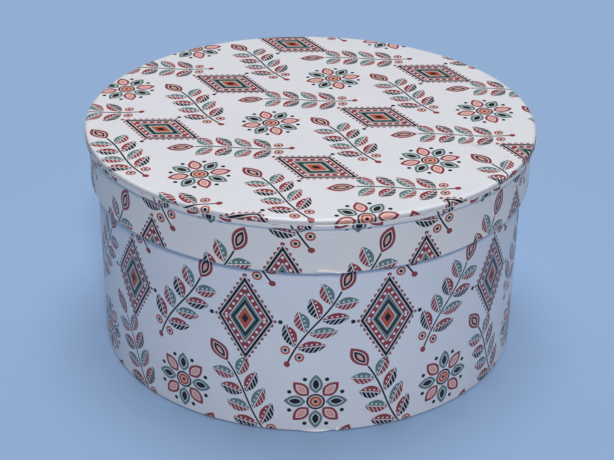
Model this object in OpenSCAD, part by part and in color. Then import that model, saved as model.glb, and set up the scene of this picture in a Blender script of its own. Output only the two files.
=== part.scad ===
// Round rigid gift box: a paper-covered greyboard base and a lift-off lid.
// The origin is the centre of the base's underside, +Z is up, the printed
// strips close on themselves at the back (+Y).

/* [Box] */
// Overall diameter, over the lip of the lid
lid_d = 250; // [180:1:320]
// Overall height with the lid on
box_h = 129.5; // [90:0.5:200]
// Overall height of the lid
lid_h = 31; // [28:0.5:45]
// How far the lid's lip stands out from its rim
lip_out = 2.1; // [1.5:0.1:3]
// Radial play between the lid's rim and the base
lid_play = 1.5; // [0.8:0.1:2.5]

/* [Boards] */
// Thickness of the greyboard rolled into the base wall and the lid rim
wall_t = 1.8; // [1.5:0.1:3]
// Thickness of the base's floor disc
floor_t = 2; // [1.2:0.1:3]
// Thickness of the lid's top disc
top_t = 3.9; // [3:0.1:5]
// Gap left at the butt joint of each rolled board
butt_gap = 0.4; // [0.2:0.1:1]

/* [Papers] */
// Thickness of the covering and lining papers
paper_t = 0.25; // [0.15:0.05:0.3]
// Depth of the printed paper turned into the mouth of the base
base_turn_in = 14; // [8:1:25]
// Depth of the printed paper turned under the base
base_turn_under = 13; // [8:1:20]
// Depth of the rim paper turned into the lid
lid_turn_in = 14; // [10:1:17]
// Depth of the top sheet turned under the lid disc
top_turn_under = 12; // [8:1:20]
// Tabs around each turned-under edge
tabs = 36; // [24:4:48]
// Width of the lap where a printed strip closes on itself
lap_w = 12; // [8:1:20]
// Width of the paper tape over each butt joint
tape_w = 25; // [15:1:40]
// Where the base's seam stands, in degrees around from +X
base_seam = 98; // [60:1:120]
// Where the lid's seam stands, in degrees around from +X
lid_seam = 71; // [60:1:120]

/* [Hidden] */

$fn = 180;
glue = 0.05;               // gap that stands for a glue line
fold = paper_t + glue;     // a paper and its glue line
rest_gap = 0.3;            // lid lining to the base's mouth
edge_r = 0.9;              // outside radius of a paper fold over a board edge
lip_w = 2.4;               // width and drop of the lid's rounded top edge, a quarter of an ellipse
lip_drop = 1.3;
lip_low_r = 0.5;           // rounding of the lip's lower edge
tape_t = 0.2;

// Radii, from the lip inwards
lip_r = lid_d / 2;
sheet_r = lip_r - fold;          // top sheet's edge, inside the rim strip's upper edge
disc_r = sheet_r - fold;
rim_r = lip_r - lip_out;         // outside of the rim strip
rim_o = rim_r - fold;
rim_i = rim_o - wall_t;
rim_in = rim_i - fold;           // inside of the lid's turn-in
base_r = rim_in - lid_play;      // outside of the base's paper
wall_o = base_r - fold;
wall_i = wall_o - wall_t;
wall_in = wall_i - fold;         // inside of the base's turn-in

// Heights, from the table up
tab_z = fold;                    // underside of the base's turned-under tabs
floor_z = 2 * fold;              // underside of the boards
floor_top = floor_z + floor_t;
disc_top = box_h - fold;
disc_bot = disc_top - top_t;
lip_bot = disc_bot - fold;       // underside of the top sheet's tabs
ring_top = lip_bot - glue;
lining_bot = ring_top - paper_t; // underside of the lid's lining over the tabs
mouth_z = lining_bot - rest_gap; // top of the base
lid_bot = box_h - lid_h;
tuck_lo = lip_bot - 2.6;         // the rim strip leaves the rim here and runs out under the lip
tuck_hi = lip_bot - 0.5;         // and here it turns up the lip's side
strip_top = lip_bot + 1.6;       // raw upper edge of the rim strip, part way up the lip

print_col = "#dcdde4";
board_col = "#9c968c";
tape_col = "#b48d5c";
lining_col = "#f1f0eb";
bottom_col = "#e6e3db";

// Points of an arc about c, from angle a to angle b
function arc(c, r, a, b, n = 6) =
    [for (i = [0:n]) let (t = a + (b - a) * i / n) [c[0] + r * cos(t), c[1] + r * sin(t)]];
function back(p) = [for (i = [len(p) - 1:-1:0]) p[i]];

// A paper's half section: an outer path and the same path one paper further in
module paper_ring(outer, inner) {
    rotate_extrude() polygon(concat(outer, back(inner)));
}

// A plain ring between two radii and two heights
module ring(ri, ro, z0, z1) {
    rotate_extrude() translate([ri, z0]) square([ro - ri, z1 - z0]);
}

// Part of a ring, w wide around the arc and centred on angle a
module ring_part(ri, ro, z0, z1, a, w) {
    span = w / ro * 180 / PI;
    rotate([0, 0, a - span / 2])
        rotate_extrude(angle = span) translate([ri, z0]) square([ro - ri, z1 - z0]);
}

// The straight slit of a butt joint through a rolled board
module butt(ri, ro, z0, z1, a) {
    rotate([0, 0, a]) translate([ri - 1, -butt_gap / 2, z0 - 1])
        cube([ro - ri + 2, butt_gap, z1 - z0 + 2]);
}

// V notches between the tabs of a turned-under edge, wide at the inner end
module notches(r_in, r_tip, z0, z1) {
    for (i = [0:tabs - 1]) rotate([0, 0, (i + 0.5) * 360 / tabs])
        translate([0, 0, z0]) linear_extrude(height = z1 - z0)
            polygon([[r_in - 1, -1.5], [r_tip, -0.15], [r_tip, 0.15], [r_in - 1, 1.5]]);
}

// ---- Base ----

// Greyboard strip rolled to a ring, its ends meeting in a butt joint
module base_wall_board() color(board_col) {
    r = edge_r - fold;
    top = mouth_z - fold;
    difference() {
        rotate_extrude() polygon(concat(
            [[wall_i, floor_z]],
            arc([wall_o - r, floor_z + r], r, -90, 0),
            arc([wall_o - r, top - r], r, 0, 90),
            arc([wall_i + r, top - r], r, 90, 180)));
        butt(wall_i, wall_o, floor_z, top, base_seam);
        ring_part(wall_i - 1, wall_i + tape_t + 0.02, floor_top + 0.8, mouth_z - 1.8,
                  base_seam, tape_w + 0.1);
    }
}

// Paper tape pressed flush over the wall's butt joint, on the inside
module base_seam_tape() color(tape_col)
    ring_part(wall_i, wall_i + tape_t, floor_top + 1, mouth_z - 2, base_seam, tape_w);

// Greyboard disc inside the foot of the wall
module base_floor_board() color(board_col)
    translate([0, 0, floor_z]) cylinder(r = wall_i - glue, h = floor_t);

// Outer path of the printed base paper: under the foot, up the wall, over the mouth, down inside
function base_path(d) = concat(
    [[base_r - base_turn_under, tab_z + d]],
    arc([base_r - edge_r, tab_z + edge_r], edge_r - d, -90, 0),
    arc([base_r - edge_r, mouth_z - edge_r], edge_r - d, 0, 90),
    arc([wall_in + edge_r, mouth_z - edge_r], edge_r - d, 90, 180),
    [[wall_in + d, mouth_z - base_turn_in]]);

// Printed paper around the wall
module base_wrap() color(print_col) {
    difference() {
        paper_ring(base_path(0), base_path(paper_t));
        notches(base_r - base_turn_under, base_r - 2.5, tab_z - 1, tab_z + paper_t + 0.02);
    }
    ring_part(base_r - paper_t / 2, base_r + paper_t, tab_z + edge_r, mouth_z - edge_r,
              base_seam, lap_w);
}

// Plain paper disc that covers the tabs: the face the box stands on
module base_bottom_sheet() color(bottom_col) cylinder(r = base_r - 3.5, h = paper_t);

// White lining of the wall, stepped over the edge of the turn-in
module base_wall_lining() color(lining_col) {
    step = mouth_z - base_turn_in;
    rotate_extrude() polygon([
        [wall_in + paper_t, floor_top + glue], [wall_in + paper_t, step - 1.2],
        [wall_in - glue, step - 0.2], [wall_in - glue, mouth_z - base_turn_in / 2],
        [wall_in - fold, mouth_z - base_turn_in / 2], [wall_in - fold, step - 0.2],
        [wall_in, step - 1.2], [wall_in, floor_top + glue]]);
}

// White disc over the floor
module base_floor_lining() color(lining_col)
    translate([0, 0, floor_top + glue]) cylinder(r = wall_in - glue, h = paper_t);

// ---- Lid ----

// The lid's top edge, d inside the top sheet's face
function top_edge(d, n = 10) = [for (i = [0:n])
    let (t = 90 * i / n, l = norm([lip_w * cos(t), lip_drop * sin(t)]))
    [sheet_r - lip_w * (1 - sin(t)) - d * lip_drop * sin(t) / l, box_h - lip_drop * (1 - cos(t)) - d * lip_w * cos(t) / l]];

// Greyboard disc of the lid, its upper edge pressed round
module lid_top_board() color(board_col) {
    rl = lip_low_r - fold;
    rotate_extrude() polygon(concat(
        [[0, disc_bot]],
        arc([disc_r - rl, disc_bot + rl], rl, -90, 0, 3),
        back(top_edge(fold)),
        [[0, disc_top]]));
}

// Greyboard strip rolled to the lid's rim
module lid_rim_board() color(board_col) {
    r = edge_r - fold;
    bot = lid_bot + fold;
    difference() {
        rotate_extrude() polygon(concat(
            [[rim_i, ring_top]],
            arc([rim_i + r, bot + r], r, 180, 270),
            arc([rim_o - r, bot + r], r, -90, 0),
            [[rim_o, ring_top]]));
        butt(rim_i, rim_o, bot, ring_top, lid_seam);
        ring_part(rim_i - 1, rim_i + tape_t + 0.02, bot + 1.3, ring_top - 0.9,
                  lid_seam, tape_w + 0.1);
    }
}

// Paper tape pressed flush over the rim's butt joint, on the inside
module lid_seam_tape() color(tape_col)
    ring_part(rim_i, rim_i + tape_t, lid_bot + fold + 1.5, ring_top - 1.1, lid_seam, tape_w);

// Outer path of the top sheet: across the top, round the lip, under the disc
function top_path(d) = concat(
    [[0, box_h - d]],
    top_edge(d),
    arc([sheet_r - lip_low_r, lip_bot + lip_low_r], lip_low_r - d, 0, -90, 4),
    [[sheet_r - top_turn_under, lip_bot + d]]);

// Printed sheet over the lid disc
module lid_top_sheet() color(print_col) difference() {
    paper_ring(top_path(0), top_path(paper_t));
    notches(sheet_r - top_turn_under, sheet_r - 2.5, lip_bot - 1, lip_bot + paper_t + 0.02);
}

// The rim strip's run from the lip's side in under the lip to the rim, d inside its outer face
function tuck(d) = let (
    a = atan2(tuck_hi - tuck_lo, lip_out), ro = 0.6, ri = 0.8,
    turn = 90 - a, ko = ro * tan(turn / 2), ki = ri * tan(turn / 2))
    concat(
        arc([lip_r - ro, tuck_hi + ko], ro - d, 0, -turn, 5),
        arc([rim_r + ri, tuck_lo - ki], ri + d, 180 - turn, 180, 5));

// Outer path of the rim strip: from its raw upper edge down the rim, round its foot, up inside
function rim_path(d) = concat(
    [[lip_r - d, strip_top]], tuck(d),
    arc([rim_r - edge_r, lid_bot + edge_r], edge_r - d, 0, -90),
    arc([rim_in + edge_r, lid_bot + edge_r], edge_r - d, 270, 180),
    [[rim_in + d, lid_bot + lid_turn_in]]);

// Printed strip around the lid's rim
module lid_rim_wrap() color(print_col) {
    paper_ring(rim_path(0), rim_path(paper_t));
    ring_part(rim_r - paper_t / 2, rim_r + paper_t, lid_bot + edge_r, tuck_lo - 0.6, lid_seam, lap_w);
}

// White lining of the rim, stepped over the edge of the turn-in
module lid_rim_lining() color(lining_col) {
    step = lid_bot + lid_turn_in;
    rotate_extrude() polygon([
        [rim_in - glue, lid_bot + lid_turn_in / 2], [rim_in - glue, step + 0.2],
        [rim_in + paper_t, step + 1.2], [rim_in + paper_t, lining_bot - glue],
        [rim_in, lining_bot - glue], [rim_in, step + 1.2],
        [rim_in - fold, step + 0.2], [rim_in - fold, lid_bot + lid_turn_in / 2]]);
}

// White disc under the lid, stepped over the tabs
module lid_top_lining() color(lining_col) {
    e = sheet_r - top_turn_under;
    up = fold;
    rotate_extrude() polygon([
        [0, lining_bot + up], [e - 1.6, lining_bot + up], [e - 0.6, lining_bot],
        [rim_in - glue, lining_bot], [rim_in - glue, ring_top],
        [e - 0.4, ring_top], [e - 1.4, ring_top + up], [0, ring_top + up]]);
}

base_wall_board();
base_seam_tape();
base_floor_board();
base_wrap();
base_bottom_sheet();
base_wall_lining();
base_floor_lining();
lid_top_board();
lid_rim_board();
lid_seam_tape();
lid_top_sheet();
lid_rim_wrap();
lid_rim_lining();
lid_top_lining();
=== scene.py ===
"""Round paper-covered gift box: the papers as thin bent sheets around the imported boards."""

import math

import bpy
import numpy as np
from mathutils import Matrix, Vector


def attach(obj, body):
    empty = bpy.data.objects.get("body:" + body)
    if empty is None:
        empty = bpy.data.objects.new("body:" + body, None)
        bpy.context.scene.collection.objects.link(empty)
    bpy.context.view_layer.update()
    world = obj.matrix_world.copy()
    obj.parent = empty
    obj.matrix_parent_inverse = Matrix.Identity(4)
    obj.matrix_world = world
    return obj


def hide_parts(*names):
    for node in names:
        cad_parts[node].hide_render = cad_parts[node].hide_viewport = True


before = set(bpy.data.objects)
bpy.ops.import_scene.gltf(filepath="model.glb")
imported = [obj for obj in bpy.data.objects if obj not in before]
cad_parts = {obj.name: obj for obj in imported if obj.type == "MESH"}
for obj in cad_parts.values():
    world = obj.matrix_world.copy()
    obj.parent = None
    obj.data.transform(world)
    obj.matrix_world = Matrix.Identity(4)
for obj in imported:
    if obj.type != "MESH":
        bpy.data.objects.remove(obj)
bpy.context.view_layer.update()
MM = 0.001

# ---------------------------------------------------------------- sizes, in millimetres
PAPER, GLUE = 0.25, 0.05
FOLD = PAPER + GLUE
BOX_H, LID_H, LID_R = 129.5, 31.0, 125.0
LIP_OUT, WALL_T, TOP_T, FLOOR_T, PLAY = 2.1, 1.8, 3.9, 2.0, 1.5
EDGE_R, LIP_LOW_R = 0.9, 0.5
LIP_W, LIP_DROP = 2.4, 1.3
SHEET_R = LID_R - FOLD
RIM_R = LID_R - LIP_OUT
RIM_I = RIM_R - FOLD - WALL_T
RIM_IN = RIM_I - FOLD
BASE_R = RIM_IN - PLAY
WALL_I = BASE_R - FOLD - WALL_T
WALL_IN = WALL_I - FOLD
TAB_Z = FOLD
FLOOR_TOP = 2 * FOLD + FLOOR_T
DISC_BOT = BOX_H - FOLD - TOP_T
LIP_BOT = DISC_BOT - FOLD
RING_TOP = LIP_BOT - GLUE
LINING_BOT = RING_TOP - PAPER
MOUTH_Z = LINING_BOT - 0.3
LID_BOT = BOX_H - LID_H
TUCK_LO, TUCK_HI, STRIP_TOP = LIP_BOT - 2.6, LIP_BOT - 0.5, LIP_BOT + 1.6
BASE_TURN, BASE_UNDER, LID_TURN, TOP_UNDER = 14.0, 13.0, 14.0, 12.0
BASE_SEAM, LID_SEAM, LAP = 98.0, 71.0, 12.0
TABS = 36


# ---------------------------------------------------------------- small helpers
def smooth(x, a, b):
    t = np.clip((x - a) / (b - a), 0.0, 1.0)
    return t * t * (3 - 2 * t)


def bell(x, c, w):
    return np.exp(-(((x - c) / w) ** 2))


def ripple(seed, n, lo, hi, *axes):
    """A smooth random field from 0 to 1: n sine waves of wavelengths lo to hi over the given axes."""
    rng = np.random.default_rng(seed)
    out = np.zeros(np.broadcast(*axes).shape)
    for _ in range(n):
        k = 2 * math.pi / rng.uniform(lo, hi)
        d = rng.normal(size=len(axes))
        d /= np.linalg.norm(d)
        out = out + np.sin(k * sum(c * a for c, a in zip(d, axes)) + rng.uniform(0, 6.283))
    return 0.5 + 0.5 * out / n


def turn_gap(theta, at):
    """Degrees from theta to at, the short way round."""
    return (theta - at + 180.0) % 360.0 - 180.0


def arc(cx, cz, r, a, b, n):
    t = np.radians(np.linspace(a, b, n + 1))
    return [(cx + r * math.cos(v), cz + r * math.sin(v)) for v in t]


def line(p, q, n):
    return [(p[0] + (q[0] - p[0]) * i / n, p[1] + (q[1] - p[1]) * i / n) for i in range(1, n)]


# ---------------------------------------------------------------- how the real box has settled
def warp_base(r, th, z, wall):
    """Radial and vertical drift of the base's papers. wall is 1 on the outer skin and 0 where a layer must stay put."""
    a = np.radians(th)
    s = np.radians(turn_gap(th, -90.0)) * BASE_R
    mid = (0.45 + 0.55 * np.sin(np.pi * np.clip(z / MOUTH_Z, 0, 1))) * (1 - 0.75 * smooth(z, 80.0, 97.0))
    dr = (0.12 * (1 + np.cos(2 * (a - 0.5))) + 0.06 * (1 + np.cos(3 * a + 1.1))) * mid
    ca, sa = np.cos(a) * BASE_R, np.sin(a) * BASE_R
    dr = dr + 0.16 * ripple(3, 9, 34, 90, ca, sa, 0.35 * z) * mid
    dr = dr + 0.05 * ripple(5, 12, 9, 24, ca, sa, 0.5 * z)
    # the foot is knocked out a little at the front, with a small nick beside it
    up = np.clip(z - TAB_Z, 0, None)
    dr = dr + 0.10 * np.exp(-up / 2.6) * ripple(8, 6, 14, 40, s)
    knock = 1.75 * np.clip(1 - ((s - 5.0) / 8.2) ** 2, 0, None)
    dr = dr + 0.62 * np.clip(knock - up, 0, None) * smooth(s, -4.0, -1.5)
    nick = 2.0 * bell(s, 16.2 + 0.25 * up, 0.75)
    dr = dr + 0.50 * np.clip(nick - up, 0, None)
    dz = -0.14 * bell(s, 7.0, 5.0) * np.exp(-up / 1.2) + 0 * z
    # a faint upright crease low on the left of the wall
    line_s = -66.0 - 0.35 * (z - 36.0)
    dr = dr + 0.14 * bell(s, line_s, 1.5) * bell(z, 36.0, 8.0)
    return dr * wall, dz * wall


def warp_lid(r, th, z, skin):
    """The same for the lid: skin is 1 on the outside of the rim and the top."""
    a = np.radians(th)
    s = np.radians(turn_gap(th, -90.0)) * RIM_R
    side = smooth(z, BOX_H - 1.0, BOX_H - 4.0)
    ca, sa = np.cos(a) * r, np.sin(a) * r
    dr = 0.05 * (1 + np.cos(2 * (a + 0.7))) + 0.03 * (1 + np.cos(3 * a - 0.4))
    dr = dr + side * (0.10 * ripple(11, 9, 30, 80, ca, sa, 0.3 * z) + 0.05 * ripple(13, 12, 8, 20, ca, sa, 0.5 * z))
    # loose paper on the rim's lower fold, a little right of the middle
    low = np.exp(-(np.clip(z - LID_BOT, 0, None) / 2.3) ** 2)
    bulge = 0.22 * bell(s, -38.0, 9.0) + 0.25 * bell(s, 62.0, 12.0)
    dr = dr + low * bulge
    # there a ridge runs down into the lid's foot, bright above and dark below
    foot = np.clip(z - LID_BOT, 0, None)
    crest = np.interp(s, [4.4, 8.8, 12.2, 14.4, 17.7, 20.5], [1.8, 1.55, 1.1, 0.55, 0.35, 0.2])
    ridge = np.where(foot > crest, np.exp((crest - foot) / 0.6), np.clip(1 + (foot - crest) / (crest + 0.15), 0, None))
    dr = dr + 0.95 * ridge * smooth(s, 2.6, 5.2) * smooth(s, 25.0, 15.0) + 0.12 * low * ripple(17, 8, 7, 22, ca, sa)
    dz = -0.30 * smooth(s, -24.0, -6.0) * smooth(s, 7.5, 3.5) * low - 0.22 * low * ripple(19, 7, 30, 90, ca, sa)
    # the strip isn't tight under the lip: its fold wanders, doubles in places, and its cut edge stands away
    out = smooth(r, RIM_R - 0.3, RIM_R - 0.05)
    fold = out * smooth(z, TUCK_LO - 2.6, TUCK_LO - 0.5) * smooth(z, LIP_BOT + 0.5, TUCK_HI)
    dz = dz + fold * (0.66 * ripple(23, 9, 9, 40, ca, sa) - 0.33)
    second = bell(z, TUCK_LO - 1.35 + 0.7 * ripple(25, 6, 20, 60, ca, sa), 0.26) * smooth(ripple(26, 6, 18, 60, ca, sa), 0.45, 0.62)
    dr = dr + out * 0.16 * second
    puff = out * smooth(z, TUCK_LO + 0.4, TUCK_HI) * smooth(z, STRIP_TOP + 0.3, STRIP_TOP - 0.5)
    dr = dr + puff * 0.22 * ripple(28, 10, 7, 30, ca, sa, 1.5 * z)
    loose = np.clip(smooth(s, 1.0, 5.0) * smooth(s, 26.0, 20.0) + 0.4 * bell(s, 46.0, 7.0) + 0.25 * bell(s, -24.0, 6.0), 0, 1)
    curl = np.clip(r - LID_R, 0, None)
    lip = smooth(curl, 0.0, 0.6)
    dz = dz + lip * (0.34 * ripple(33, 9, 12, 46, ca, sa) - 0.17 + 0.2 * loose)
    dr = dr + curl * (0.25 * ripple(27, 9, 9, 34, ca, sa) - 0.95)
    stand = smooth(z, LIP_BOT + 0.1, STRIP_TOP - 0.45) * smooth(r, LID_R - 0.1, LID_R - 0.02)
    dr = dr + 0.36 * loose * stand * (1 - 0.9 * smooth(curl, 0.08, 0.86))
    dr = dr - 0.22 * smooth(r, SHEET_R - 0.2, SHEET_R - 0.05) * smooth(r, LID_R - 0.05, SHEET_R + 0.05) * smooth(z, BOX_H - 1.2, BOX_H - 2.6)
    top = smooth(z, BOX_H - 2.2, BOX_H - 0.4)
    flat = smooth(SHEET_R - r, 1.0, 12.0)
    dz = dz + top * (0.22 * ripple(29, 8, 60, 150, ca, sa) * flat + 0.05 * ripple(31, 12, 14, 40, ca, sa))
    dent = np.hypot(ca - 95.0, sa - 19.0)
    dz = dz + top * 0.16 * (bell(dent, 4.0, 2.2) + 0.5 * bell(dent, 0.0, 1.5))
    return dr * skin, dz * skin


# ---------------------------------------------------------------- bent paper as closed thin meshes
def columns(start, end, step=1.0, fine=()):
    """Angles from start to end in degrees, closer together inside each (from, to, step) of fine."""
    out, a = [start], start
    while a < end - 1e-9:
        d = step
        for f0, f1, fs in fine:
            if f0 - 1e-9 <= a < f1:
                d = min(d, fs)
        nxt = a + d
        for f0, _, _ in fine:
            if a < f0 - 1e-9 < nxt:
                nxt = f0
        a = min(nxt, end)
        out.append(a)
    if len(out) > 2 and out[-1] - out[-2] < 0.02:
        out.pop(-2)
    return np.array(out)


class Sheet:
    """A paper: a path in (radius, height) swept round the axis, given a thickness and closed along every edge."""

    def __init__(self, path, thick=PAPER):
        self.path = np.array(path, float)
        d = np.gradient(self.path, axis=0)
        d /= np.linalg.norm(d, axis=1)[:, None]
        self.normal = np.stack([d[:, 1], -d[:, 0]], 1)
        self.t = np.concatenate([[0], np.cumsum(np.linalg.norm(np.diff(self.path, axis=0), axis=1))])
        self.thick = thick

    def build(self, name, th, warp, weight, closed=False, raise_by=None, notch=None, centre=None, uv=None, bake=None):
        """th: column angles. closed joins the last column to the first. raise_by(th) lifts the sheet along its normal.
        notch = (row, width at the far end, angles) opens V gaps in the rows before row. centre = "first" or "last" closes a disc there.
        """
        path, nrm = self.path, self.normal
        m, n = len(path), len(th)
        up = raise_by(th) if raise_by else np.zeros(n)
        cols = np.arange(n)
        ang = np.broadcast_to(th, (m, n)).copy()
        left = np.zeros(n, bool)
        if notch:
            row, width, at = notch
            cols = np.sort(np.concatenate([cols, [int(np.argmin(np.abs(th - a))) for a in at]]))
            same = np.concatenate([cols[1:] == cols[:-1], [False]])
            left = same
            right = np.concatenate([[False], same[:-1]])
            ang = np.broadcast_to(th[cols], (m, len(cols))).copy()
            gap = np.zeros(m)
            gap[:row] = width * (self.t[row] - self.t[:row]) / self.t[row]
            half = np.degrees(0.5 * gap / np.maximum(path[:, 0], 1.0))
            ang[:, left] -= half[:, None]
            ang[:, right] += half[:, None]
        n = len(cols)
        lift = up[cols]
        grid = np.arange(m * n).reshape(m, n)
        if notch:
            for j in np.nonzero(left)[0]:
                grid[row:, j + 1] = grid[row:, j]

        def place(depth):
            r = path[:, 0][:, None] + nrm[:, 0][:, None] * (lift[None, :] - depth)
            z = path[:, 1][:, None] + nrm[:, 1][:, None] * (lift[None, :] - depth)
            r, z = np.broadcast_arrays(r, z)
            base_r = np.broadcast_to(path[:, 0][:, None], (m, n))
            base_z = np.broadcast_to(path[:, 1][:, None], (m, n))
            w = np.broadcast_to(np.asarray(weight, float).reshape(-1, 1), (m, n))
            dr, dz = warp(base_r, ang, base_z, w)
            a = np.radians(ang)
            rr = r + dr
            return np.stack([rr * np.cos(a), rr * np.sin(a), z + dz], -1).reshape(-1, 3)

        top, back = place(0.0), place(self.thick)
        quads = []
        jn = np.arange(n - 1)
        for i in range(m - 1):
            a, b, c, d = grid[i, jn], grid[i, jn + 1], grid[i + 1, jn + 1], grid[i + 1, jn]
            q = np.stack([a, b, c, d], 1)
            if notch and i < row:
                q = q[~left[jn]]
            else:
                q = q[(q[:, 0] != q[:, 1]) | (q[:, 2] != q[:, 3])]
            quads.append(q)
            if closed:
                quads.append(np.array([[grid[i, n - 1], grid[i, 0], grid[i + 1, 0], grid[i + 1, n - 1]]]))
        # a triangle stands where a notch's tip meets the first whole row
        faces = [[int(v) for v in dict.fromkeys(f)] for q in quads for f in q.tolist()]
        size = m * n
        extra_top, extra_back = [], []
        if centre:
            i = 0 if centre == "first" else m - 1
            extra_top, extra_back = [top[grid[i]].mean(0)], [back[grid[i]].mean(0)]
            c = 2 * size
            ring = list(grid[i]) + ([grid[i][0]] if closed else [])
            for p, q in zip(ring[:-1], ring[1:]):
                faces.append([int(q), int(p), c] if centre == "first" else [int(p), int(q), c])
        n_front = len(faces)
        twin = lambda v: v + 1 if v == 2 * size else v + size
        seen = {}
        for f in faces:
            for p, q in zip(f, f[1:] + f[:1]):
                seen[(p, q)] = True
        rim = [(p, q) for p, q in seen if (q, p) not in seen]
        solid = faces + [[twin(v) for v in reversed(f)] for f in faces]
        solid += [[q, p, twin(p), twin(q)] for p, q in rim]
        co = np.concatenate([top, back] + ([np.array(extra_top), np.array(extra_back)] if centre else []))
        t = np.broadcast_to(self.t[:, None], (m, n)).reshape(-1)
        angs = ang.reshape(-1)
        if centre:
            tc = self.t[0] if centre == "first" else self.t[-1]
            t = np.concatenate([t, t, [tc, tc]])
            angs = np.concatenate([angs, angs, [0.0, 0.0]])
        else:
            t, angs = np.concatenate([t, t]), np.concatenate([angs, angs])
        # drop the points that merged columns left unused
        used = np.zeros(len(co), bool)
        for f in solid:
            used[f] = True
        new = np.cumsum(used) - 1
        solid = [[int(new[v]) for v in f] for f in solid]
        me = bpy.data.meshes.new(name)
        me.from_pydata((co[used] * MM).tolist(), [], solid)
        t, angs = t[used], angs[used]
        part = np.concatenate([np.zeros(n_front, int), np.ones(n_front, int), np.full(len(rim), 2, int)])
        me.polygons.foreach_set("material_index", part.astype(np.int32))
        loops = np.zeros(len(me.loops), np.int32)
        me.loops.foreach_get("vertex_index", loops)
        per_loop = np.repeat(part, [len(f) for f in solid])
        if uv:
            u, v = uv(angs, t)
            layer = me.uv_layers.new(name="paper")
            layer.data.foreach_set("uv", np.stack([u[loops], v[loops]], 1).astype(np.float32).ravel() * MM)
        if bake:
            u, v = bake(angs[loops], t[loops], per_loop, solid)
            layer = me.uv_layers.new(name="OFBake")
            layer.data.foreach_set("uv", np.stack([u, v], 1).astype(np.float32).ravel())
        if me.uv_layers:
            me.uv_layers.active_index = 0
        me.validate()
        me.polygons.foreach_set("use_smooth", np.ones(len(me.polygons), bool))
        me.set_sharp_from_angle(angle=math.radians(38))
        ob = bpy.data.objects.new(name, me)
        bpy.context.scene.collection.objects.link(ob)
        return ob


# ---------------------------------------------------------------- node arithmetic
class Nodes:
    """Builds a node tree from arithmetic on its sockets, in the order that it is written."""

    def __init__(self, tree):
        self.tree, self.count = tree, 0

    def new(self, kind, **props):
        node = self.tree.nodes.new(kind)
        node.location = (180 * (self.count // 12), -170 * (self.count % 12))
        self.count += 1
        for k, v in props.items():
            setattr(node, k, v)
        return node

    def feed(self, socket, value):
        if isinstance(value, V):
            value = value.s
        if isinstance(value, bpy.types.NodeSocket):
            self.tree.links.new(value, socket)
        else:
            socket.default_value = value

    def math(self, op, *args, clamp=False):
        node = self.new("ShaderNodeMath", operation=op, use_clamp=clamp)
        for socket, value in zip(node.inputs, args):
            self.feed(socket, value)
        return V(self, node.outputs[0])

    def mix(self, fac, a, b):
        node = self.new("ShaderNodeMix", data_type="RGBA")
        for socket, value in zip((node.inputs[0], node.inputs[6], node.inputs[7]), (fac, a, b)):
            self.feed(socket, value)
        return V(self, node.outputs[2])

    def under(self, x, edge, soft=0.14):
        """1 where x is below edge, with a soft step."""
        if isinstance(edge, V):
            return self.math("MULTIPLY_ADD", edge - x, 1 / soft, 0.5, clamp=True)
        return self.math("MULTIPLY_ADD", x, -1 / soft, edge / soft + 0.5, clamp=True)

    def over(self, x, edge, soft=0.14):
        if isinstance(edge, V):
            return self.math("MULTIPLY_ADD", x - edge, 1 / soft, 0.5, clamp=True)
        return self.math("MULTIPLY_ADD", x, 1 / soft, 0.5 - edge / soft, clamp=True)

    def noise(self, vector, scale, detail=2.0, rough=0.5, colour=False):
        node = self.new("ShaderNodeTexNoise")
        self.feed(node.inputs["Vector"], vector)
        node.inputs["Scale"].default_value = scale
        node.inputs["Detail"].default_value = detail
        node.inputs["Roughness"].default_value = rough
        return V(self, node.outputs["Color" if colour else "Fac"])


class V:
    """A socket's value, for arithmetic."""

    def __init__(self, g, s):
        self.g, self.s = g, s

    def __add__(self, o):
        return self.g.math("ADD", self, o)

    __radd__ = __add__

    def __sub__(self, o):
        return self.g.math("SUBTRACT", self, o)

    def __rsub__(self, o):
        return self.g.math("SUBTRACT", o, self)

    def __mul__(self, o):
        return self.g.math("MULTIPLY", self, o)

    __rmul__ = __mul__

    def __truediv__(self, o):
        return self.g.math("DIVIDE", self, o)

    def __abs__(self):
        return self.g.math("ABSOLUTE", self)

    def mod(self, o):
        return self.g.math("FLOORED_MODULO", self, o)

    def floor(self):
        return self.g.math("FLOOR", self)


def ink(r, g, b):
    """A colour given as the eye reads it, 0 to 255, in linear light."""
    lin = lambda c: c / 12.92 if c <= 0.04045 else ((c + 0.055) / 1.055) ** 2.4
    return (lin(r / 255), lin(g / 255), lin(b / 255), 1.0)


BRICK, TEAL_BLACK, SAGE = ink(148, 57, 61), ink(10, 17, 25), ink(97, 127, 125)
PEACH, RUST, PAPER_WHITE = ink(226, 164, 152), ink(186, 86, 58), ink(228, 229, 236)


def hypot(g, a, b):
    return g.math("SQRT", a * a + b * b)


def cell(g, u, v, ou, ov, w, h, tilt):
    """Local coordinates about the nearest point of a w by h lattice, turned by tilt degrees."""
    x = (u + (w / 2 - ou)).mod(w) - w / 2
    y = (v + (h / 2 - ov)).mod(h) - h / 2
    if not tilt:
        return x, y
    c, s = math.cos(math.radians(tilt)), math.sin(math.radians(tilt))
    return x * c + y * s, y * c - x * s


def leaf(g, a, b, length, width):
    """1 inside an almond that runs from a = 0 to a = length."""
    q = a / length
    w = q * (1.0 - q) * (4 * width)
    return g.under(abs(b), w) * g.over(q, 0.0, 0.02)


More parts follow.
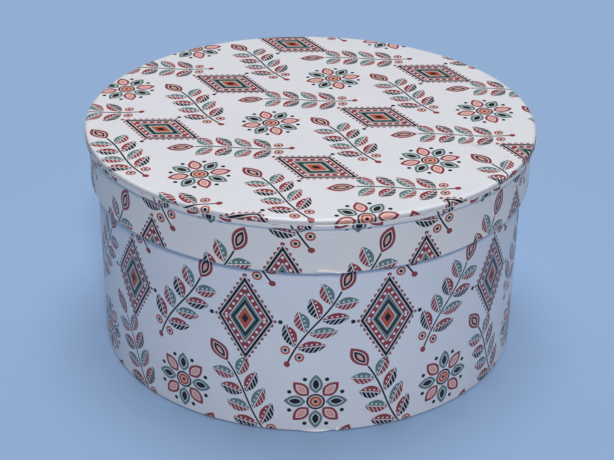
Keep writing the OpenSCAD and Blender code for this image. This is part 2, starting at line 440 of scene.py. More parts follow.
def paint_sprig(g, col, x, y):
    """A stem with pairs of two-toned leaflets, a leaf at its tip and berries at its foot."""
    bent = x - g.math("SINE", y * 0.095) * 1.7
    side = abs(bent)
    pitch, low = 10.4, -18.5
    k = ((y - low) / pitch).floor()
    yl = (y - low).mod(pitch)
    odd = k.mod(2.0)
    span = g.under(abs(y - (low + 2 * pitch)), 2 * pitch, 0.05)
    px, py = side - 0.75, yl - 0.2
    a, b = (px * 0.78 + py * 0.626), (py * 0.78 - px * 0.626)
    body = leaf(g, a, b, k * -0.5 + 15.0, 3.65) * span
    rib = g.over(abs(b), 0.24)
    upper = body * rib * g.over(b, 0.0, 0.1)
    lower = body * rib * g.under(b, 0.0, 0.1)
    vein = g.over((a + abs(b) * 0.9).mod(2.5), 0.5)
    bead = hypot(g, (a - 1.2).mod(2.6) - 1.3, b - 1.3)
    col = g.mix(upper * g.over(bead, 0.52), col, g.mix(odd, BRICK, SAGE))
    col = g.mix(lower * vein, col, g.mix(odd, TEAL_BLACK, BRICK))
    tip = y - (low + 4 * pitch - 0.8)
    col = g.mix(leaf(g, tip, bent, 15.0, 4.3), col, BRICK)
    col = g.mix(leaf(g, tip - 1.9, bent, 10.8, 2.75), col, PAPER_WHITE)
    col = g.mix(leaf(g, tip - 2.5, bent, 9.6, 2.25), col, TEAL_BLACK)
    col = g.mix(leaf(g, tip - 4.3, bent, 5.8, 1.05), col, PEACH)
    stem = g.under(side, 0.5) * g.under(abs(y + 3.4), 25.4)
    col = g.mix(stem, col, TEAL_BLACK)
    berry = hypot(g, side - 4.2, y - (low - 3.9))
    col = g.mix(g.under(berry, 2.6), col, RUST)
    col = g.mix(g.under(berry, 1.5), col, PAPER_WHITE)
    col = g.mix(g.under(berry, 1.0), col, TEAL_BLACK)
    return g.mix(g.under(hypot(g, bent, y + 29.4), 1.7), col, BRICK)


def paint_lozenge(g, col, x, y):
    """A diamond of nested bands, with teeth round it and beads and chevrons between them."""
    ax, ay = abs(x), abs(y)
    e = ax / 15.2 + ay / 25.0
    along = ay * 0.855 - ax * 0.52
    tooth = g.under(abs(along.mod(3.3) - 1.65), 1.5 - (e - 1.0) * 12.0)
    col = g.mix(g.under(e, 1.10, 0.012) * tooth, col, BRICK)
    col = g.mix(g.under(e, 1.0, 0.012), col, PAPER_WHITE)
    col = g.mix(g.under(e, 0.965, 0.012), col, TEAL_BLACK)
    col = g.mix(g.under(e, 0.85, 0.012), col, PAPER_WHITE)
    col = g.mix(g.under(e, 0.815, 0.012), col, BRICK)
    bead = hypot(g, (e - 0.70) * 13.0, (along - 1.31).mod(3.9) - 1.95)
    col = g.mix(g.under(bead, 0.8), col, PAPER_WHITE)
    col = g.mix(g.under(e, 0.585, 0.012), col, PAPER_WHITE)
    chev = g.under((ay + ax * 1.5).mod(4.4), 2.2)
    col = g.mix(g.under(e, 0.55, 0.012), col, g.mix(chev, SAGE, TEAL_BLACK))
    col = g.mix(g.under(e, 0.31, 0.012), col, PAPER_WHITE)
    col = g.mix(g.under(e, 0.275, 0.012), col, RUST)
    col = g.mix(g.under(e, 0.12, 0.012), col, TEAL_BLACK)
    wing = hypot(g, ax - 18.4, y)
    return g.mix(g.under(wing, 1.2), col, TEAL_BLACK)


def paint_rosette(g, col, x, y):
    """A round of eight two-coloured petals about a ringed eye."""
    r = hypot(g, x, y)
    phi = g.math("ARCTAN2", y, x) * (4 / math.pi) + 8.5
    odd = phi.floor().mod(2.0)
    turn = phi.mod(1.0) - 0.5
    across = turn * (math.pi / 4) * r
    col = g.mix(leaf(g, r - 5.2, across, 11.6, 3.7), col, g.mix(odd, SAGE, BRICK))
    col = g.mix(leaf(g, r - 6.9, across, 7.8, 2.25), col, PAPER_WHITE)
    col = g.mix(leaf(g, r - 7.5, across, 6.6, 1.75), col, g.mix(odd, TEAL_BLACK, PEACH))
    gap = (0.5 - abs(turn)) * (math.pi / 4) * r
    col = g.mix(g.under(hypot(g, gap, r - 15.0), 1.15), col, TEAL_BLACK)
    col = g.mix(g.under(r, 4.9), col, TEAL_BLACK)
    col = g.mix(g.under(r, 3.8), col, PAPER_WHITE)
    col = g.mix(g.under(r, 3.35), col, RUST)
    col = g.mix(g.under(r, 2.0), col, PEACH)
    return g.mix(g.under(r, 1.0), col, TEAL_BLACK)


def print_group():
    """The printed design: where it is on the sheet, in millimetres, to its colour and how much ink it carries."""
    tree = bpy.data.node_groups.new("print", "ShaderNodeTree")
    for n in ("U", "V"):
        tree.interface.new_socket(n, in_out="INPUT", socket_type="NodeSocketFloat")
    tree.interface.new_socket("Color", in_out="OUTPUT", socket_type="NodeSocketColor")
    tree.interface.new_socket("Ink", in_out="OUTPUT", socket_type="NodeSocketFloat")
    g = Nodes(tree)
    inp = g.new("NodeGroupInput")
    u, v = V(g, inp.outputs[0]), V(g, inp.outputs[1])
    w, h = 74.0, 96.0
    col = PAPER_WHITE
    col = paint_rosette(g, col, *cell(g, u, v, 0, h / 2, w, h, 0))
    col = paint_lozenge(g, col, *cell(g, u, v, w / 2, 0, w, h, 0))
    col = paint_sprig(g, col, *cell(g, u, v, 0, 0, w, h, -30))
    col = paint_sprig(g, col, *cell(g, u, v, w / 2, h / 2, w, h, 30))
    sep = g.new("ShaderNodeSeparateColor")
    g.feed(sep.inputs[0], col)
    bare = V(g, sep.outputs[2])
    out = g.new("NodeGroupOutput")
    g.feed(out.inputs[0], col)
    g.feed(out.inputs[1], g.under(bare, 0.62, 0.25))
    return tree


# ---------------------------------------------------------------- materials
def material(name):
    mat = bpy.data.materials.new(name)
    mat.use_nodes = True
    mat.node_tree.nodes.clear()
    g = Nodes(mat.node_tree)
    out = g.new("ShaderNodeOutputMaterial")
    bsdf = g.new("ShaderNodeBsdfPrincipled")
    g.tree.links.new(bsdf.outputs[0], out.inputs[0])
    return mat, g, bsdf


def sheet_place(g):
    """The sheet's own flat coordinates, in millimetres: u, v and both as a vector."""
    node = g.new("ShaderNodeUVMap", uv_map="paper")
    sep = g.new("ShaderNodeSeparateXYZ")
    g.tree.links.new(node.outputs[0], sep.inputs[0])
    u, v = V(g, sep.outputs[0]) * 1000.0, V(g, sep.outputs[1]) * 1000.0
    comb = g.new("ShaderNodeCombineXYZ")
    g.feed(comb.inputs[0], u)
    g.feed(comb.inputs[1], v)
    return u, v, V(g, comb.outputs[0])


def bump(g, bsdf, *layers):
    """Stacks bumps: (height, depth in millimetres)."""
    normal = None
    for height, depth in layers:
        node = g.new("ShaderNodeBump")
        node.inputs["Strength"].default_value = 1.0
        node.inputs["Distance"].default_value = depth * MM
        g.feed(node.inputs["Height"], height)
        if normal:
            g.tree.links.new(normal, node.inputs["Normal"])
        normal = node.outputs[0]
    g.tree.links.new(normal, bsdf.inputs["Normal"])


PRINT = print_group()


def printed(name, shift, turn, folds, bare=(), edge_dirt_and_shade_from=None, marks=(), painted_warm_light=0.0):
    """Satin printed paper. folds lists (v, half width) of the folds where the ink has rubbed thin, bare lists
    (u, half length, v, half width) of places painted whiter than the sheet: white fibres at a cut edge, and elsewhere a
    painted highlight on a crest of the paper, there with rubbed ink. Past the given distance from the sheet's middle it
    is darkened, as handling dirt and as painted shade on the lip's side, and rubbed smoother from a little before.
    marks lists scuffs: (u, v, half length, half width, direction, colour, strength), and the last argument says how far
    the bare paper is warmed: painted light, for a part that gets less of the blue floor's light than the wall.
    """
    mat, g, bsdf = material(name)
    u, v, place = sheet_place(g)
    c, s = math.cos(math.radians(turn)), math.sin(math.radians(turn))
    node = g.new("ShaderNodeGroup", node_tree=PRINT)
    g.feed(node.inputs[0], u * c + v * s + shift[0])
    g.feed(node.inputs[1], v * c - u * s + shift[1])
    col, inked = V(g, node.outputs[0]), V(g, node.outputs[1])
    grain = g.noise(place, 1.9, 4.0, 0.6)
    cloud = g.noise(place, 0.035, 3.0, 0.55)
    tone = g.math("MULTIPLY_ADD", cloud, 0.09, 0.945) + (grain - 0.5) * 0.05
    grey = g.new("ShaderNodeCombineColor")
    for i in range(3):
        g.feed(grey.inputs[i], tone)
    col = g.mix(1.0, col, V(g, grey.outputs[0]))
    col.s.node.blend_type = "MULTIPLY"
    # warms the bare paper: painted light, for a part that gets less of the blue floor's light than the wall
    if painted_warm_light:
        painted_warm_light_mask = (1.0 - inked) * (cloud * 1.2 + 0.4) * painted_warm_light
        col = g.mix(painted_warm_light_mask, col, ink(243, 232, 220))
    rub = None
    for at, half in folds:
        near = g.under(abs(v - at), half, half)
        rub = near if rub is None else g.math("MAXIMUM", rub, near)
    if rub is not None:
        speck = g.over(g.noise(place, 0.55, 5.0, 0.7), 0.56, 0.10)
        col = g.mix(rub * speck * 0.75, col, ink(236, 235, 236))
    if bare:
        frayed = g.noise(place, 0.9, 4.0, 0.65)
    # whiter than the sheet: white fibres at a cut edge, and elsewhere a painted highlight on a crest of the paper
    for at_u, long, at_v, wide in bare:
        here = g.under(abs(u - at_u), long, long * 0.45) * g.under(abs(v - at_v) + (frayed - 0.5) * (wide * 1.6), wide, wide * 0.5)
        col = g.mix(here, col, ink(250, 250, 251))
    if marks:
        ragged = (g.noise(place, 0.8, 4.0, 0.7) - 0.5) * 1.1
    for at_u, at_v, long, wide, way, tint, strong in marks:
        cw, sw = math.cos(math.radians(way)), math.sin(math.radians(way))
        du, dv = u - at_u, v - at_v
        off = hypot(g, (du * cw + dv * sw) / long, (dv * cw - du * sw) / wide) + ragged
        col = g.mix(g.under(off, 0.8, 0.8) * strong, col, tint)
    rough = g.math("MULTIPLY_ADD", inked, -0.06, 0.42) + (grain - 0.5) * 0.10
    if edge_dirt_and_shade_from:
        out = hypot(g, u, v)
        rough = rough - g.over(out, edge_dirt_and_shade_from - 2.3, 1.6) * 0.12
        # darker towards the sheet's edge: handling dirt, and painted shade on the lip's side
        dirt_and_shade = g.over(out + (g.noise(place, 0.25, 4.0, 0.6) - 0.5) * 1.6, edge_dirt_and_shade_from, 1.1)
        col = g.mix(dirt_and_shade * 0.5, col, ink(228, 226, 216))
        col.s.node.blend_type = "MULTIPLY"
    g.feed(bsdf.inputs["Base Color"], col)
    g.feed(bsdf.inputs["Roughness"], rough)
    bsdf.inputs["IOR"].default_value = 1.48
    bump(g, bsdf, (g.noise(place, 0.16, 3.0, 0.5), 0.05), (grain, 0.012))
    return mat


def plain_paper(name, colour, rough, grain_mm=0.016, fleck=None, fleck_at=0.66, wave_mm=0.05):
    mat, g, bsdf = material(name)
    coord = g.new("ShaderNodeTexCoord")
    scaled = g.new("ShaderNodeVectorMath", operation="SCALE")
    g.tree.links.new(coord.outputs["Object"], scaled.inputs[0])
    scaled.inputs["Scale"].default_value = 1000.0
    place = V(g, scaled.outputs[0])
    grain = g.noise(place, 1.6, 4.0, 0.65)
    cloud = g.noise(place, 0.03, 3.0, 0.5)
    darker = tuple(c * 0.86 for c in colour[:3]) + (1.0,)
    mottle = g.noise(place, 0.22, 3.0, 0.6)
    col = g.mix(g.math("MULTIPLY_ADD", cloud, 0.8, 0.1) * 0.7 + (mottle - 0.5) * 0.5 + (grain - 0.5) * 0.35, colour, darker)
    if fleck:
        spot = g.over(g.noise(place, 0.9, 3.0, 0.75), fleck_at, 0.05)
        col = g.mix(spot * 0.7, col, fleck)
    g.feed(bsdf.inputs["Base Color"], col)
    g.feed(bsdf.inputs["Roughness"], (grain - 0.5) * 0.12 + rough)
    bsdf.inputs["IOR"].default_value = 1.45
    bump(g, bsdf, (g.noise(place, 0.12, 3.0, 0.5), wave_mm), (grain, grain_mm))
    return mat


PAPER_BACK = plain_paper("paper_back", ink(240, 241, 243), 0.75)
PAPER_CORE = plain_paper("paper_core", ink(244, 245, 247), 0.85)
LINING = plain_paper("lining", ink(239, 241, 243), 0.88, 0.035, ink(190, 187, 182), 0.715, 0.16)
BOTTOM = plain_paper("bottom", ink(222, 218, 209), 0.78, 0.02, ink(176, 168, 154))
BOARD = plain_paper("greyboard", ink(158, 152, 142), 0.9, 0.03, ink(112, 106, 98))
TAPE = plain_paper("paper_tape", ink(186, 150, 104), 0.8, 0.02, ink(150, 116, 74))


# ---------------------------------------------------------------- the papers
def lap_lift(start, end, radius):
    """How far a strip's closing end stands up to pass over its first end."""
    rise = math.degrees(4.0 / radius)

    def lift(th):
        return (FOLD - 0.01) * smooth(th, start + 360.0 - rise, start + 360.0 - 0.1)

    return lift


def strip_uv(radius, t_zero, start):
    return lambda th, t: (np.radians(th - start) * radius, t - t_zero)


def edge_cells(part, count, x0, y0, width, height):
    """A small cell of its own in the given rectangle for every cut-edge face."""
    edge = part[np.concatenate([[0], np.cumsum(count)[:-1]])] == 2
    n = max(int(edge.sum()), 1)
    across = max(int(math.ceil(math.sqrt(n * width / height))), 1)
    down = int(math.ceil(n / across))
    k = np.repeat(np.clip(np.cumsum(edge) - 1, 0, None), count)
    corner = np.concatenate([np.arange(c) for c in count])
    fx = np.where((corner == 1) | (corner == 2), 0.85, 0.15)
    fy = np.where(corner >= 2, 0.85, 0.15)
    return x0 + (k % across + fx) * width / across, y0 + (k // across + fy) * height / down


def strip_bake(bands, start, end, t_end):
    """Bake layout of a strip: its face in stacked bands, its back and edges small below them."""

    def place(th, t, part, faces):
        f = np.clip((th - start) / (end - start), 0, 1) * bands
        count = np.array([len(x) for x in faces])
        first = np.concatenate([[0], np.cumsum(count)[:-1]])
        mid = np.add.reduceat(f, first) / count
        band = np.clip(np.repeat(np.floor(mid), count), 0, bands - 1)
        x = 0.012 + (f - band) * 0.976
        y = 0.075 + (band + 0.02 + 0.96 * t / t_end) * (0.915 / bands)
        bx, by = 0.012 + (f / bands) * 0.976, 0.010 + 0.020 * t / t_end
        ex, ey = edge_cells(part, count, 0.012, 0.036, 0.976, 0.030)
        return np.select([part == 1, part == 2], [bx, ex], x), np.select([part == 1, part == 2], [by, ey], y)

    return place


front_fine = [(262.0, 271.0, 0.4), (271.0, 281.0, 0.14), (281.0, 286.0, 0.4)]
half = math.degrees(LAP / 2 / BASE_R)
b0, b1 = BASE_SEAM - half, BASE_SEAM + half + 360.0
base_path = (
    [(BASE_R - BASE_UNDER, TAB_Z)]
    + line((BASE_R - BASE_UNDER, TAB_Z), (BASE_R - 2.5, TAB_Z), 4)
    + [(BASE_R - 2.5, TAB_Z)]
    + arc(BASE_R - EDGE_R, TAB_Z + EDGE_R, EDGE_R, -90, 0, 7)
    + line((BASE_R, TAB_Z + EDGE_R), (BASE_R, 5.0), 6)
    + [(BASE_R, 5.0)]
    + line((BASE_R, 5.0), (BASE_R, MOUTH_Z - EDGE_R), 48)
    + arc(BASE_R - EDGE_R, MOUTH_Z - EDGE_R, EDGE_R, 0, 90, 7)
    + arc(WALL_IN + EDGE_R, MOUTH_Z - EDGE_R, EDGE_R, 90, 180, 7)
    + line((WALL_IN, MOUTH_Z - EDGE_R), (WALL_IN, MOUTH_Z - BASE_TURN), 7)
    + [(WALL_IN, MOUTH_Z - BASE_TURN)]
)
sheet = Sheet(base_path)
p = sheet.path
wall_w = smooth(p[:, 0], BASE_R - 2.2, BASE_R - 0.4) * np.where(p[:, 1] > MOUTH_Z - 20, smooth(p[:, 0], WALL_IN + 0.2, BASE_R - 0.6), 1.0)
t_foot = float(np.interp(TAB_Z + EDGE_R, p[12:60, 1], sheet.t[12:60]))
tab_angles = [(i + 0.5) * 360 / TABS for i in range(TABS)]
tab_angles = [a if a > b0 + 3 else a + 360 for a in tab_angles]
base_cols = columns(b0, b1, 1.0, front_fine + [(b0 + 360 - 2.5, b1, 0.4)])
base_wrap = sheet.build(
    "base_wrap_paper",
    base_cols,
    warp_base,
    wall_w,
    raise_by=lap_lift(b0, b1, BASE_R),
    notch=(5, 3.0, tab_angles),
    uv=strip_uv(BASE_R, t_foot, b0),
    bake=strip_bake(2, b0, b1, sheet.t[-1]),
)
t_mouth = float(sheet.t[np.argmax(p[:, 1])]) - t_foot
u_front = math.radians(270.0 - b0) * BASE_R
# white on the knocked foot and at the nick: rubbed ink, and a painted highlight where the knocked facet and the nick
# catch the light
foot_wear_and_highlight = [(u_front + 8.2, 4.6, -0.35, 0.55), (u_front + 1.0, 5.0, -0.6, 0.32), (u_front + 16.6, 0.8, 0.3, 0.8)]
base_print = printed("base_print", (2.0, 30.0), 0.0, [(-0.5, 0.8), (t_mouth, 1.2)], foot_wear_and_highlight)
for m in (base_print, PAPER_BACK, PAPER_CORE):
    base_wrap.data.materials.append(m)
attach(base_wrap, "base")
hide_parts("base_wrap")

half = math.degrees(LAP / 2 / RIM_R)
r0, r1 = LID_SEAM - half, LID_SEAM + half + 360.0
# the rim strip's upper end: in under the lip, up the lip's side, and a little away from it at the cut edge
bend = 90.0 - math.degrees(math.atan2(TUCK_HI - TUCK_LO, LIP_OUT))
bend_k = math.tan(math.radians(bend / 2))
low_bend = arc(RIM_R + 0.8, TUCK_LO - 0.8 * bend_k, 0.8, 180, 180 - bend, 5)
high_bend = arc(LID_R - 0.6, TUCK_HI + 0.6 * bend_k, 0.6, -bend, 0, 5)
tuck = low_bend + line(low_bend[-1], high_bend[0], 4) + high_bend + [
    (LID_R, LIP_BOT + 0.25),
    (LID_R, LIP_BOT + 0.65),
    (LID_R + 0.03, STRIP_TOP - 0.60),
    (LID_R + 0.10, STRIP_TOP - 0.40),
    (LID_R + 0.23, STRIP_TOP - 0.23),
    (LID_R + 0.42, STRIP_TOP - 0.11),
    (LID_R + 0.64, STRIP_TOP - 0.04),
    (LID_R + 0.86, STRIP_TOP),
]
rim_path = (
    [(RIM_IN, LID_BOT + LID_TURN)]
    + line((RIM_IN, LID_BOT + LID_TURN), (RIM_IN, LID_BOT + EDGE_R), 7)
    + arc(RIM_IN + EDGE_R, LID_BOT + EDGE_R, EDGE_R, 180, 270, 7)
    + arc(RIM_R - EDGE_R, LID_BOT + EDGE_R, EDGE_R, -90, 0, 7)
    + line((RIM_R, LID_BOT + EDGE_R), (RIM_R, LID_BOT + 5.4), 16)
    + [(RIM_R, LID_BOT + 5.4)]
    + line((RIM_R, LID_BOT + 5.4), (RIM_R, TUCK_LO - 3.0), 12)
    + [(RIM_R, TUCK_LO - 3.0)]
    + line((RIM_R, TUCK_LO - 3.0), low_bend[0], 9)
    + tuck
)
sheet = Sheet(rim_path)
p = sheet.path
rim_w = smooth(p[:, 0], RIM_IN + 0.6, RIM_R - 0.5)
t_rim = float(sheet.t[np.argmin(p[:, 1])])
rim_cols = columns(r0, r1, 1.0, front_fine + [(r0 + 360 - 2.5, r1, 0.4)])
rim_wrap = sheet.build(
    "lid_rim_paper",
    rim_cols,
    warp_lid,
    rim_w,
    raise_by=lap_lift(r0, r1, RIM_R),
    uv=strip_uv(RIM_R, t_rim, r0),
    bake=strip_bake(4, r0, r1, sheet.t[-1]),
)
t_raw, u_front = float(sheet.t[-1]) - t_rim, math.radians(270.0 - r0) * RIM_R
# white fibres at the strip's cut edge (the first three), and a painted highlight along the crest of the ridge in the
# lid's foot (the last three)
rim_fibres_and_highlight = [
    (u_front + 13.5, 10.5, t_raw, 0.42),
    (u_front + 46.0, 4.5, t_raw, 0.6),
    (u_front - 24.0, 3.5, t_raw, 0.5),
    (u_front + 8.5, 3.5, 2.15, 0.36),
    (u_front + 12.8, 3.0, 1.65, 0.42),
    (u_front + 17.2, 3.6, 1.05, 0.52),
]
# the rim's bare paper is warmed half way: painted light, for the rim getting less of the blue floor's light than the
# base's wall
rim_print = printed("rim_print", (-13.0, 8.0), 0.0, [(0.6, 1.0), (sheet.t[-1] - t_rim, 0.5)], rim_fibres_and_highlight, painted_warm_light=0.5)
for m in (rim_print, PAPER_BACK, PAPER_CORE):
    rim_wrap.data.materials.append(m)
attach(rim_wrap, "lid")
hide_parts("lid_rim_wrap")


def disc_uv(t_zero, sign):
    """Flat coordinates of a disc: the distance along the sheet from its middle, at its angle."""
    return lambda th, t: ((t_zero - t) * sign * np.cos(np.radians(th)), (t_zero - t) * sign * np.sin(np.radians(th)))


def disc_bake(t_zero, sign, reach):
    """Bake layout of a disc: its face in the square, its back small in a corner and its edges in another."""

    def place(th, t, part, faces):
        rho = (t_zero - t) * sign / reach
        a = np.radians(th)
        x, y = 0.5 + 0.49 * rho * np.cos(a), 0.5 + 0.49 * rho * np.sin(a)
        bx, by = 0.07 + 0.06 * rho * np.cos(a), 0.07 + 0.06 * rho * np.sin(a)
        count = np.array([len(f) for f in faces])
        ex, ey = edge_cells(part, count, 0.88, 0.88, 0.11, 0.11)
        return np.select([part == 1, part == 2], [bx, ex], x), np.select([part == 1, part == 2], [by, ey], y)

    return place


# the lid's top edge is a quarter of an ellipse
flat_r = SHEET_R - LIP_W
top_edge = [(flat_r + LIP_W * math.cos(t), BOX_H - LIP_DROP * (1 - math.sin(t))) for t in np.radians(np.linspace(0, 90, 14))]
top_path = (
    [(SHEET_R - TOP_UNDER, LIP_BOT)]
    + line((SHEET_R - TOP_UNDER, LIP_BOT), (SHEET_R - 2.5, LIP_BOT), 4)
    + [(SHEET_R - 2.5, LIP_BOT)]
    + arc(SHEET_R - LIP_LOW_R, LIP_BOT + LIP_LOW_R, LIP_LOW_R, -90, 0, 5)
    + top_edge
    + [(flat_r - d, BOX_H) for d in (0.6, 1.4, 2.6, 4.4, 7.0)]
    + [(r, BOX_H) for r in np.linspace(112.0, 2.0, 45)]
)
sheet = Sheet(top_path)
p = sheet.path
top_w = smooth(p[:, 0], SHEET_R - 2.4, SHEET_R - 0.3) * (p[:, 1] < BOX_H - 1.0) + (p[:, 1] >= BOX_H - 1.0)
t_mid = float(sheet.t[-1] + 2.0)
top_cols = columns(0.0, 360.0, 1.0, [(262.0, 286.0, 0.5)])[:-1]
top_sheet = sheet.build(
    "lid_top_paper",
    top_cols,
    warp_lid,
    top_w,
    closed=True,
    notch=(5, 3.0, [(i + 0.5) * 360 / TABS for i in range(TABS)]),
    centre="last",
    uv=disc_uv(t_mid, 1.0),
    bake=disc_bake(t_mid, 1.0, t_mid),
)
t_side = float(np.interp(BOX_H - LIP_DROP, p[10:24, 1], sheet.t[10:24]))
smudge, rubbed = ink(150, 152, 166), ink(240, 240, 243)
scuffs = [
    (88.0, -37.0, 5.5, 2.2, -50.0, smudge, 0.22),
    (84.5, -26.5, 3.2, 1.1, -60.0, rubbed, 0.85),
    (103.5, -50.5, 1.6, 1.3, 0.0, smudge, 0.28),
    (94.0, -27.5, 4.0, 0.7, 80.0, smudge, 0.14),
]
# towards the lid's edge the top sheet darkens: handling dirt, and painted shade on the lip's side
top_print = printed("top_print", (20.0, 34.0), 62.0, [], edge_dirt_and_shade_from=t_mid - t_side, marks=scuffs)
for m in (top_print, PAPER_BACK, PAPER_CORE):
    top_sheet.data.materials.append(m)
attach(top_sheet, "lid")
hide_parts("lid_top_sheet")

# White lining of the base wall, its edge a little wavy
step = MOUTH_Z - BASE_TURN
lining_path = (
    [(WALL_IN - FOLD, MOUTH_Z - BASE_TURN / 2)]
    + line((WALL_IN - FOLD, MOUTH_Z - BASE_TURN / 2), (WALL_IN - FOLD, step - 0.2), 5)
    + [(WALL_IN - FOLD, step - 0.2), (WALL_IN - 0.15, step - 0.7), (WALL_IN, step - 1.2)]
    + line((WALL_IN, step - 1.2), (WALL_IN, FLOOR_TOP + GLUE + 0.4), 40)
    + [(WALL_IN, FLOOR_TOP + GLUE + 0.3)]
)


# glue wrinkles: angle, height of the middle, half height, lean, how far they stand up
WRINKLES = [(138.0, 62.0, 30.0, 0.05, 0.22), (171.0, 84.0, 17.0, -0.08, 0.20), (212.0, 48.0, 26.0, 0.10, 0.24), (251.0, 70.0, 22.0, -0.04, 0.18),
            (296.0, 40.0, 24.0, 0.07, 0.22), (331.0, 78.0, 20.0, -0.10, 0.20), (18.0, 58.0, 32.0, 0.06, 0.24), (57.0, 86.0, 15.0, -0.05, 0.20), (74.0, 36.0, 20.0, 0.09, 0.20)]


def warp_lining(r, th, z, w):
    a = np.radians(th)
    ca, sa = np.cos(a) * WALL_IN, np.sin(a) * WALL_IN
    dr = -0.10 * ripple(41, 9, 26, 70, ca, sa, 0.4 * z) - 0.04 * ripple(43, 12, 9, 22, ca, sa, 0.4 * z)
    dr = dr - 0.26 * smooth(np.abs(np.radians(turn_gap(th, BASE_SEAM)) * WALL_IN), 13.1, 12.3)
    for at, mid, tall, lean, high in WRINKLES:
        off = np.radians(turn_gap(th, at)) * WALL_IN - lean * (z - mid) - 0.8 * np.sin((z - mid) / 9.0)
        dr = dr - 2.0 * high * (bell(off, 0.0, 1.0) + 0.35 * bell(off, 3.0, 1.6)) * smooth(np.abs(z - mid), tall, tall * 0.35)
    low = smooth(z, 30.0, 4.0)
    cut = smooth(z, MOUTH_Z - BASE_TURN / 2 - 3.0, MOUTH_Z - BASE_TURN / 2)
    return dr * w * (1 - 0.7 * low), cut * (0.5 * ripple(47, 7, 20, 80, ca, sa) - 0.25)


sheet = Sheet(lining_path)
w0 = math.degrees(5.0 / WALL_IN)
lin0, lin1 = 112.0, 472.0 + w0
wall_lining = sheet.build(
    "base_wall_lining_paper",
    columns(lin0, lin1, 1.2, sorted([(at - 2.4 + 360 * (at < 112), at + 2.4 + 360 * (at < 112), 0.3) for at, *_ in WRINKLES]) + [(450.8, 453.0, 0.2), (463.0, 465.2, 0.2), (lin0 + 357.5, lin1, 0.4)]),
    warp_lining,
    np.ones(len(sheet.path)),
    raise_by=lap_lift(lin0, lin1, WALL_IN),
)
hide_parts("base_wall_lining")

# White disc on the floor
floor_z = FLOOR_TOP + GLUE + PAPER
# soft bubbles in it: place, reach and height
BUBBLES = [(-46.0, 30.0, 13.0, 0.42), (38.0, -52.0, 17.0, 0.38), (62.0, 46.0, 9.0, 0.36), (-20.0, -70.0, 8.0, 0.30), (8.0, 14.0, 24.0, 0.30), (-82.0, -22.0, 10.0, 0.34)]


def warp_floor(r, th, z, w):
    a = np.radians(th)
    ca, sa = np.cos(a) * r, np.sin(a) * r
    up = 0.12 * ripple(51, 8, 40, 120, ca, sa) + 0.03 * ripple(53, 12, 12, 30, ca, sa)
    for x, y, wide, high in BUBBLES:
        up = up + 1.8 * high * bell(np.hypot(ca - x, (sa - y) * 1.3), 0.0, wide)
    # and follows the board's edge, where the wall's lining comes down
    return 0 * r, w * (up + 0.16 * smooth(r, WALL_IN - 3.5, WALL_IN - 0.8))


sheet = Sheet([(r, floor_z) for r in np.concatenate([[WALL_IN - 0.5, WALL_IN - 0.9], np.linspace(WALL_IN - 2.5, 2.0, 40)])])
floor_lining = sheet.build("base_floor_lining_paper", columns(0, 360, 1.5)[:-1], warp_floor, np.ones(len(sheet.path)), closed=True, centre="last")
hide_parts("base_floor_lining")

# White lining of the lid's rim
step = LID_BOT + LID_TURN
rim_lining_path = (
    [(RIM_IN, LINING_BOT - GLUE)]
    + line((RIM_IN, LINING_BOT - GLUE), (RIM_IN, step + 1.2), 7)
    + [(RIM_IN, step + 1.2), (RIM_IN - 0.15, step + 0.7), (RIM_IN - FOLD, step + 0.2)]
    + line((RIM_IN - FOLD, step + 0.2), (RIM_IN - FOLD, LID_BOT + LID_TURN / 2), 5)
    + [(RIM_IN - FOLD, LID_BOT + LID_TURN / 2)]
)


def warp_rim_lining(r, th, z, w):
    a = np.radians(th)
    ca, sa = np.cos(a) * RIM_IN, np.sin(a) * RIM_IN
    dr = -0.08 * ripple(61, 9, 24, 60, ca, sa, 0.4 * z) - 0.03 * ripple(63, 12, 9, 22, ca, sa, 0.4 * z)
    dr = dr - 0.16 * smooth(np.abs(np.radians(turn_gap(th, LID_SEAM)) * RIM_IN), 13.1, 12.3)
    cut = smooth(z, LID_BOT + LID_TURN / 2 + 3.0, LID_BOT + LID_TURN / 2)
    return dr * w, cut * (0.5 * ripple(67, 7, 20, 80, ca, sa) - 0.25)


sheet = Sheet(rim_lining_path)
w0 = math.degrees(5.0 / RIM_IN)
lin0, lin1 = 84.0, 444.0 + w0
rim_lining = sheet.build(
    "lid_rim_lining_paper", columns(lin0, lin1, 1.2, [(lin0 + 357.5, lin1, 0.4)]), warp_rim_lining, np.ones(len(sheet.path)), raise_by=lap_lift(lin0, lin1, RIM_IN)
)
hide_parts("lid_rim_lining")

# White disc under the lid, which shows the tabs it covers
e = SHEET_R - TOP_UNDER
under_r = np.concatenate([np.linspace(2.0, e - 6.0, 36), np.linspace(e - 4.5, e + 1.5, 13), np.linspace(e + 2.5, RIM_IN - 0.4, 4)])


def warp_under(r, th, z, w):
    a = np.radians(th)
    ca, sa = np.cos(a) * r, np.sin(a) * r
    tab = smooth(np.abs((th / 10.0) % 1.0 - 0.5) * 10.0 * np.radians(1.0) * r, 0.3, 1.3) * smooth(r, e - 0.4, e + 0.4)
    return 0 * r, w * (FOLD * (1 - smooth(r, e - 1.5, e - 0.4)) + 0.10 * (1 - tab) * smooth(r, e - 0.4, e + 0.4) + 0.04 * ripple(71, 8, 40, 110, ca, sa))


sheet = Sheet([(r, LINING_BOT) for r in under_r])
top_lining = sheet.build("lid_top_lining_paper", columns(0, 360, 1.0)[:-1], warp_under, np.ones(len(under_r)), closed=True, centre="first")
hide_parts("lid_top_lining")

# Plain disc under the foot
foot_r = np.concatenate([np.linspace(2.0, 104.0, 36), np.linspace(104.8, BASE_R - 3.5, 12)])


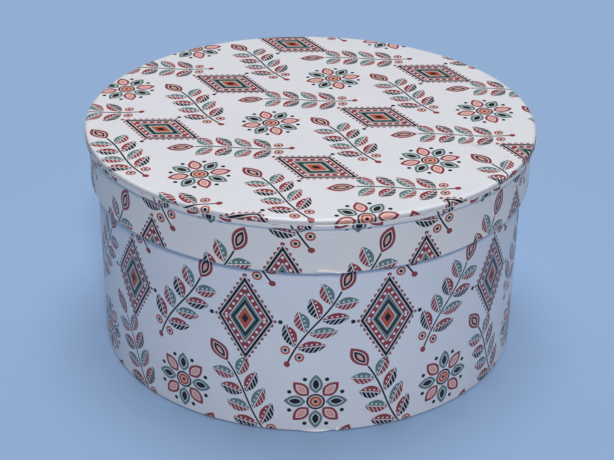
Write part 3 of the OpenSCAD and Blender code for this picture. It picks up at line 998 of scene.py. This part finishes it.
def warp_foot(r, th, z, w):
    a = np.radians(th)
    ca, sa = np.cos(a) * r, np.sin(a) * r
    u0 = BASE_R - BASE_UNDER
    tab = smooth(np.abs((th / 10.0) % 1.0 - 0.5) * 10.0 * np.radians(1.0) * r, 0.3, 1.3)
    sunk = 0.16 * (1 - smooth(r, u0 - 0.8, u0 + 0.3)) + 0.12 * (1 - tab) * smooth(r, u0, u0 + 1.0) * smooth(r, BASE_R - 2.5, BASE_R - 6.0)
    return 0 * r, w * (sunk + 0.02 * ripple(81, 8, 30, 90, ca, sa))


sheet = Sheet([(r, 0.0) for r in foot_r])
bottom = sheet.build("base_bottom_paper", columns(0, 360, 1.0)[:-1], warp_foot, np.ones(len(foot_r)), closed=True, centre="first")
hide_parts("base_bottom_sheet")

for ob, body, mat, slot in (
    (wall_lining, "base", LINING, "lining_paper"),
    (floor_lining, "base", LINING, "lining_paper"),
    (rim_lining, "lid", LINING, "lining_paper"),
    (top_lining, "lid", LINING, "lining_paper"),
    (bottom, "base", BOTTOM, "bottom_paper"),
):
    for m in (mat, PAPER_BACK, PAPER_CORE):
        ob.data.materials.append(m)
    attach(ob, body)

for node, mat in (
    ("base_wall_board", BOARD),
    ("base_floor_board", BOARD),
    ("lid_top_board", BOARD),
    ("lid_rim_board", BOARD),
    ("base_seam_tape", TAPE),
    ("lid_seam_tape", TAPE),
):
    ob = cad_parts[node]
    ob.data.materials.clear()
    ob.data.materials.append(mat)

# ---------------------------------------------------------------- floor, light and camera
me = bpy.data.meshes.new("floor")
me.from_pydata([(-9, -9, -0.0002), (9, -9, -0.0002), (9, 9, -0.0002), (-9, 9, -0.0002)], [], [(0, 1, 2, 3)])
floor = bpy.data.objects.new("floor", me)
bpy.context.scene.collection.objects.link(floor)
mat, g, bsdf = material("floor_pale")
bsdf.inputs["Base Color"].default_value = ink(146, 175, 213)
bsdf.inputs["Roughness"].default_value = 0.85
me.materials.append(mat)

world = bpy.data.worlds.new("studio")
bpy.context.scene.world = world
world.use_nodes = True
world.node_tree.nodes.clear()
g = Nodes(world.node_tree)
out = g.new("ShaderNodeOutputWorld")
fill = g.new("ShaderNodeBackground")
fill.inputs[0].default_value, fill.inputs[1].default_value = (0.86, 0.92, 1.0, 1.0), 0.035
backdrop = g.new("ShaderNodeBackground")
backdrop.inputs[0].default_value, backdrop.inputs[1].default_value = ink(150, 178, 213), 1.0
either = g.new("ShaderNodeMixShader")
g.tree.links.new(g.new("ShaderNodeLightPath").outputs["Is Camera Ray"], either.inputs[0])
g.tree.links.new(fill.outputs[0], either.inputs[1])
g.tree.links.new(backdrop.outputs[0], either.inputs[2])
g.tree.links.new(either.outputs[0], out.inputs[0])


def lamp(name, toward, softness, strength, colour):
    """Soft light of one strength everywhere, from the direction toward."""
    data = bpy.data.lights.new(name, "SUN")
    data.angle, data.energy, data.color = math.radians(softness), strength, colour
    ob = bpy.data.objects.new(name, data)
    bpy.context.scene.collection.objects.link(ob)
    ob.rotation_euler = Vector(toward).to_track_quat("Z", "Y").to_euler()
    return ob


lamp("key", (0.12, -1.03, 1.0), 12.0, 1.51, (1.0, 0.975, 0.945))
lamp("overhead", (0.02, 0.08, 1.0), 36.0, 1.43, (0.97, 0.985, 1.0))
lamp("back_left", (-0.48, 0.80, 1.10), 40.0, 0.34, (0.97, 0.985, 1.0))
lamp("back_right", (0.48, 0.80, 1.10), 40.0, 0.34, (0.97, 0.985, 1.0))
bpy.context.scene.view_settings.view_transform = "Standard"

cam_data = bpy.data.cameras.new("camera")
cam_data.sensor_fit, cam_data.sensor_width, cam_data.lens = "HORIZONTAL", 36.0, 1487.2 * 36.0 / 614.0
cam = bpy.data.objects.new("camera", cam_data)
bpy.context.scene.collection.objects.link(cam)
pitch, roll, pan = math.radians(28.168), math.radians(0.773), math.radians(-0.085)
fwd = Vector((math.sin(pan) * math.cos(pitch), math.cos(pan) * math.cos(pitch), -math.sin(pitch)))
right = Vector((math.cos(pan), -math.sin(pan), 0.0))
up = right.cross(fwd)
r2 = right * math.cos(roll) + up * math.sin(roll)
u2 = up * math.cos(roll) - right * math.sin(roll)
rot = Matrix((r2, u2, -fwd)).transposed().to_4x4()
cam.matrix_world = Matrix.Translation((0.0, -0.7616, 0.4649)) @ rot
bpy.context.scene.camera = cam
